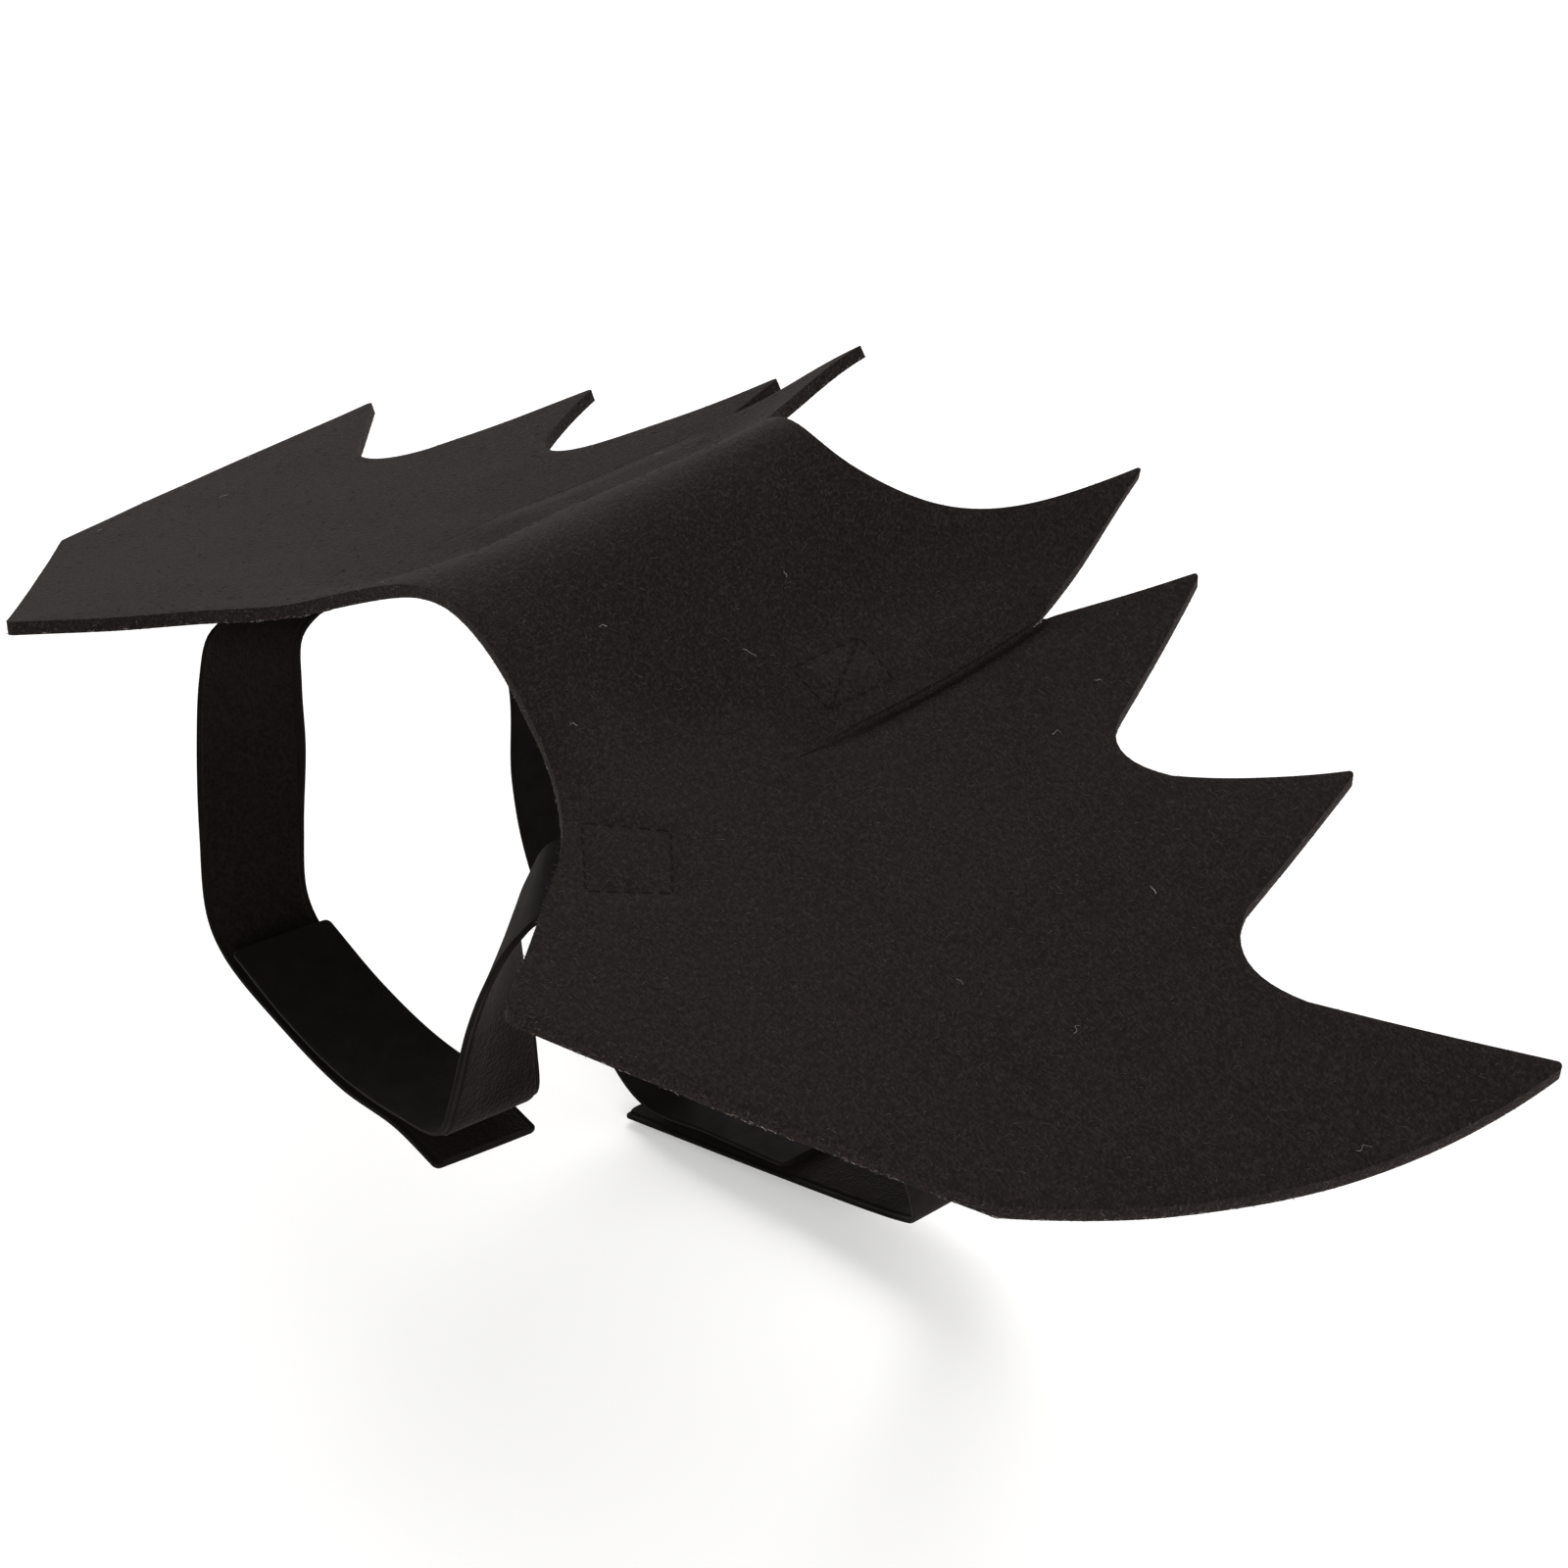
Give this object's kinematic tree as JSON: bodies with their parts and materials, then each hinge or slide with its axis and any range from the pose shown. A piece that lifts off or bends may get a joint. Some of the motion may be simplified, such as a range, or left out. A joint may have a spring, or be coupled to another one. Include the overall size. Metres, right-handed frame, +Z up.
{
  "type": "bat wings",
  "caption": "Felt bat wings for a small pet: a scalloped sheet arched over the back, with darts that set the wings out, and neck and belly strap loops closed by hook-and-loop tape.",
  "frame": {"origin": "underside of the felt on the middle of the ridge, where it lies on the wearer's back", "axes": "+Z up from the back, -Y towards the wearer's head, +X towards the wearer's left wing tip"},
  "size_m": [0.4156, 0.198, 0.1931],
  "materials": {
    "felt": "matte black needled felt with fine flecked fibres",
    "strap_tape": "black woven hook-and-loop tape, smoother than the felt"
  },
  "bodies": {
    "root": {"wing_felt": "felt", "neck_strap_left": "strap_tape", "neck_strap_right": "strap_tape", "belly_strap_left": "strap_tape", "belly_strap_right": "strap_tape"}
  },
  "joints": []
}
